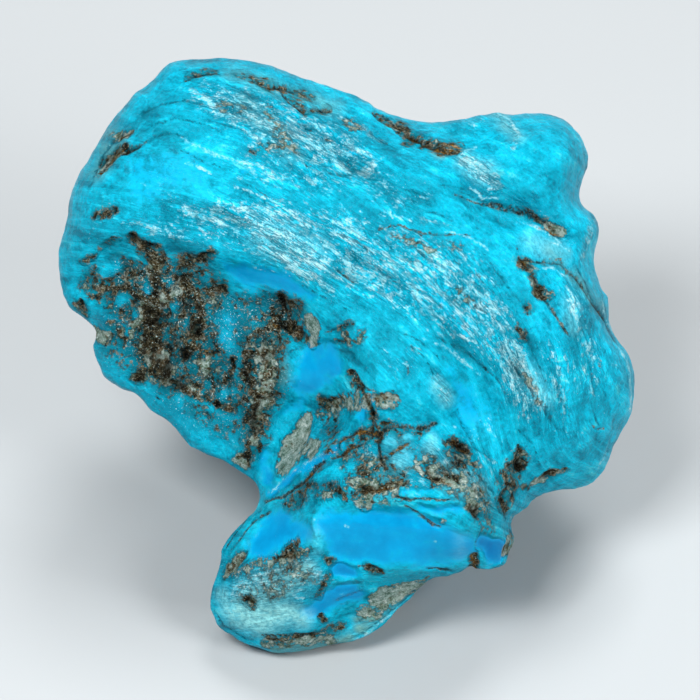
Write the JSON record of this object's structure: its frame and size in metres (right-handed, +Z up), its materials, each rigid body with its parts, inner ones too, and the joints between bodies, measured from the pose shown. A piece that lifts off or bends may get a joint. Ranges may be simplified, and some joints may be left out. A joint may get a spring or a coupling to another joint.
{
  "type": "raw turquoise nugget",
  "caption": "Lumpy tumbled piece of natural turquoise with smooth blue patches, pale streaks, brown matrix and a deep hollow.",
  "frame": {"origin": "on the ground under the middle of the stone", "axes": "+Z up from the ground, -Y towards the face with the hollow, +X towards the stone's right lobe as that face is seen"},
  "size_m": [0.0289, 0.0235, 0.0227],
  "materials": {
    "turquoise": "tumbled polish"
  },
  "bodies": {
    "root": {"turquoise_nugget": "turquoise"}
  },
  "joints": []
}
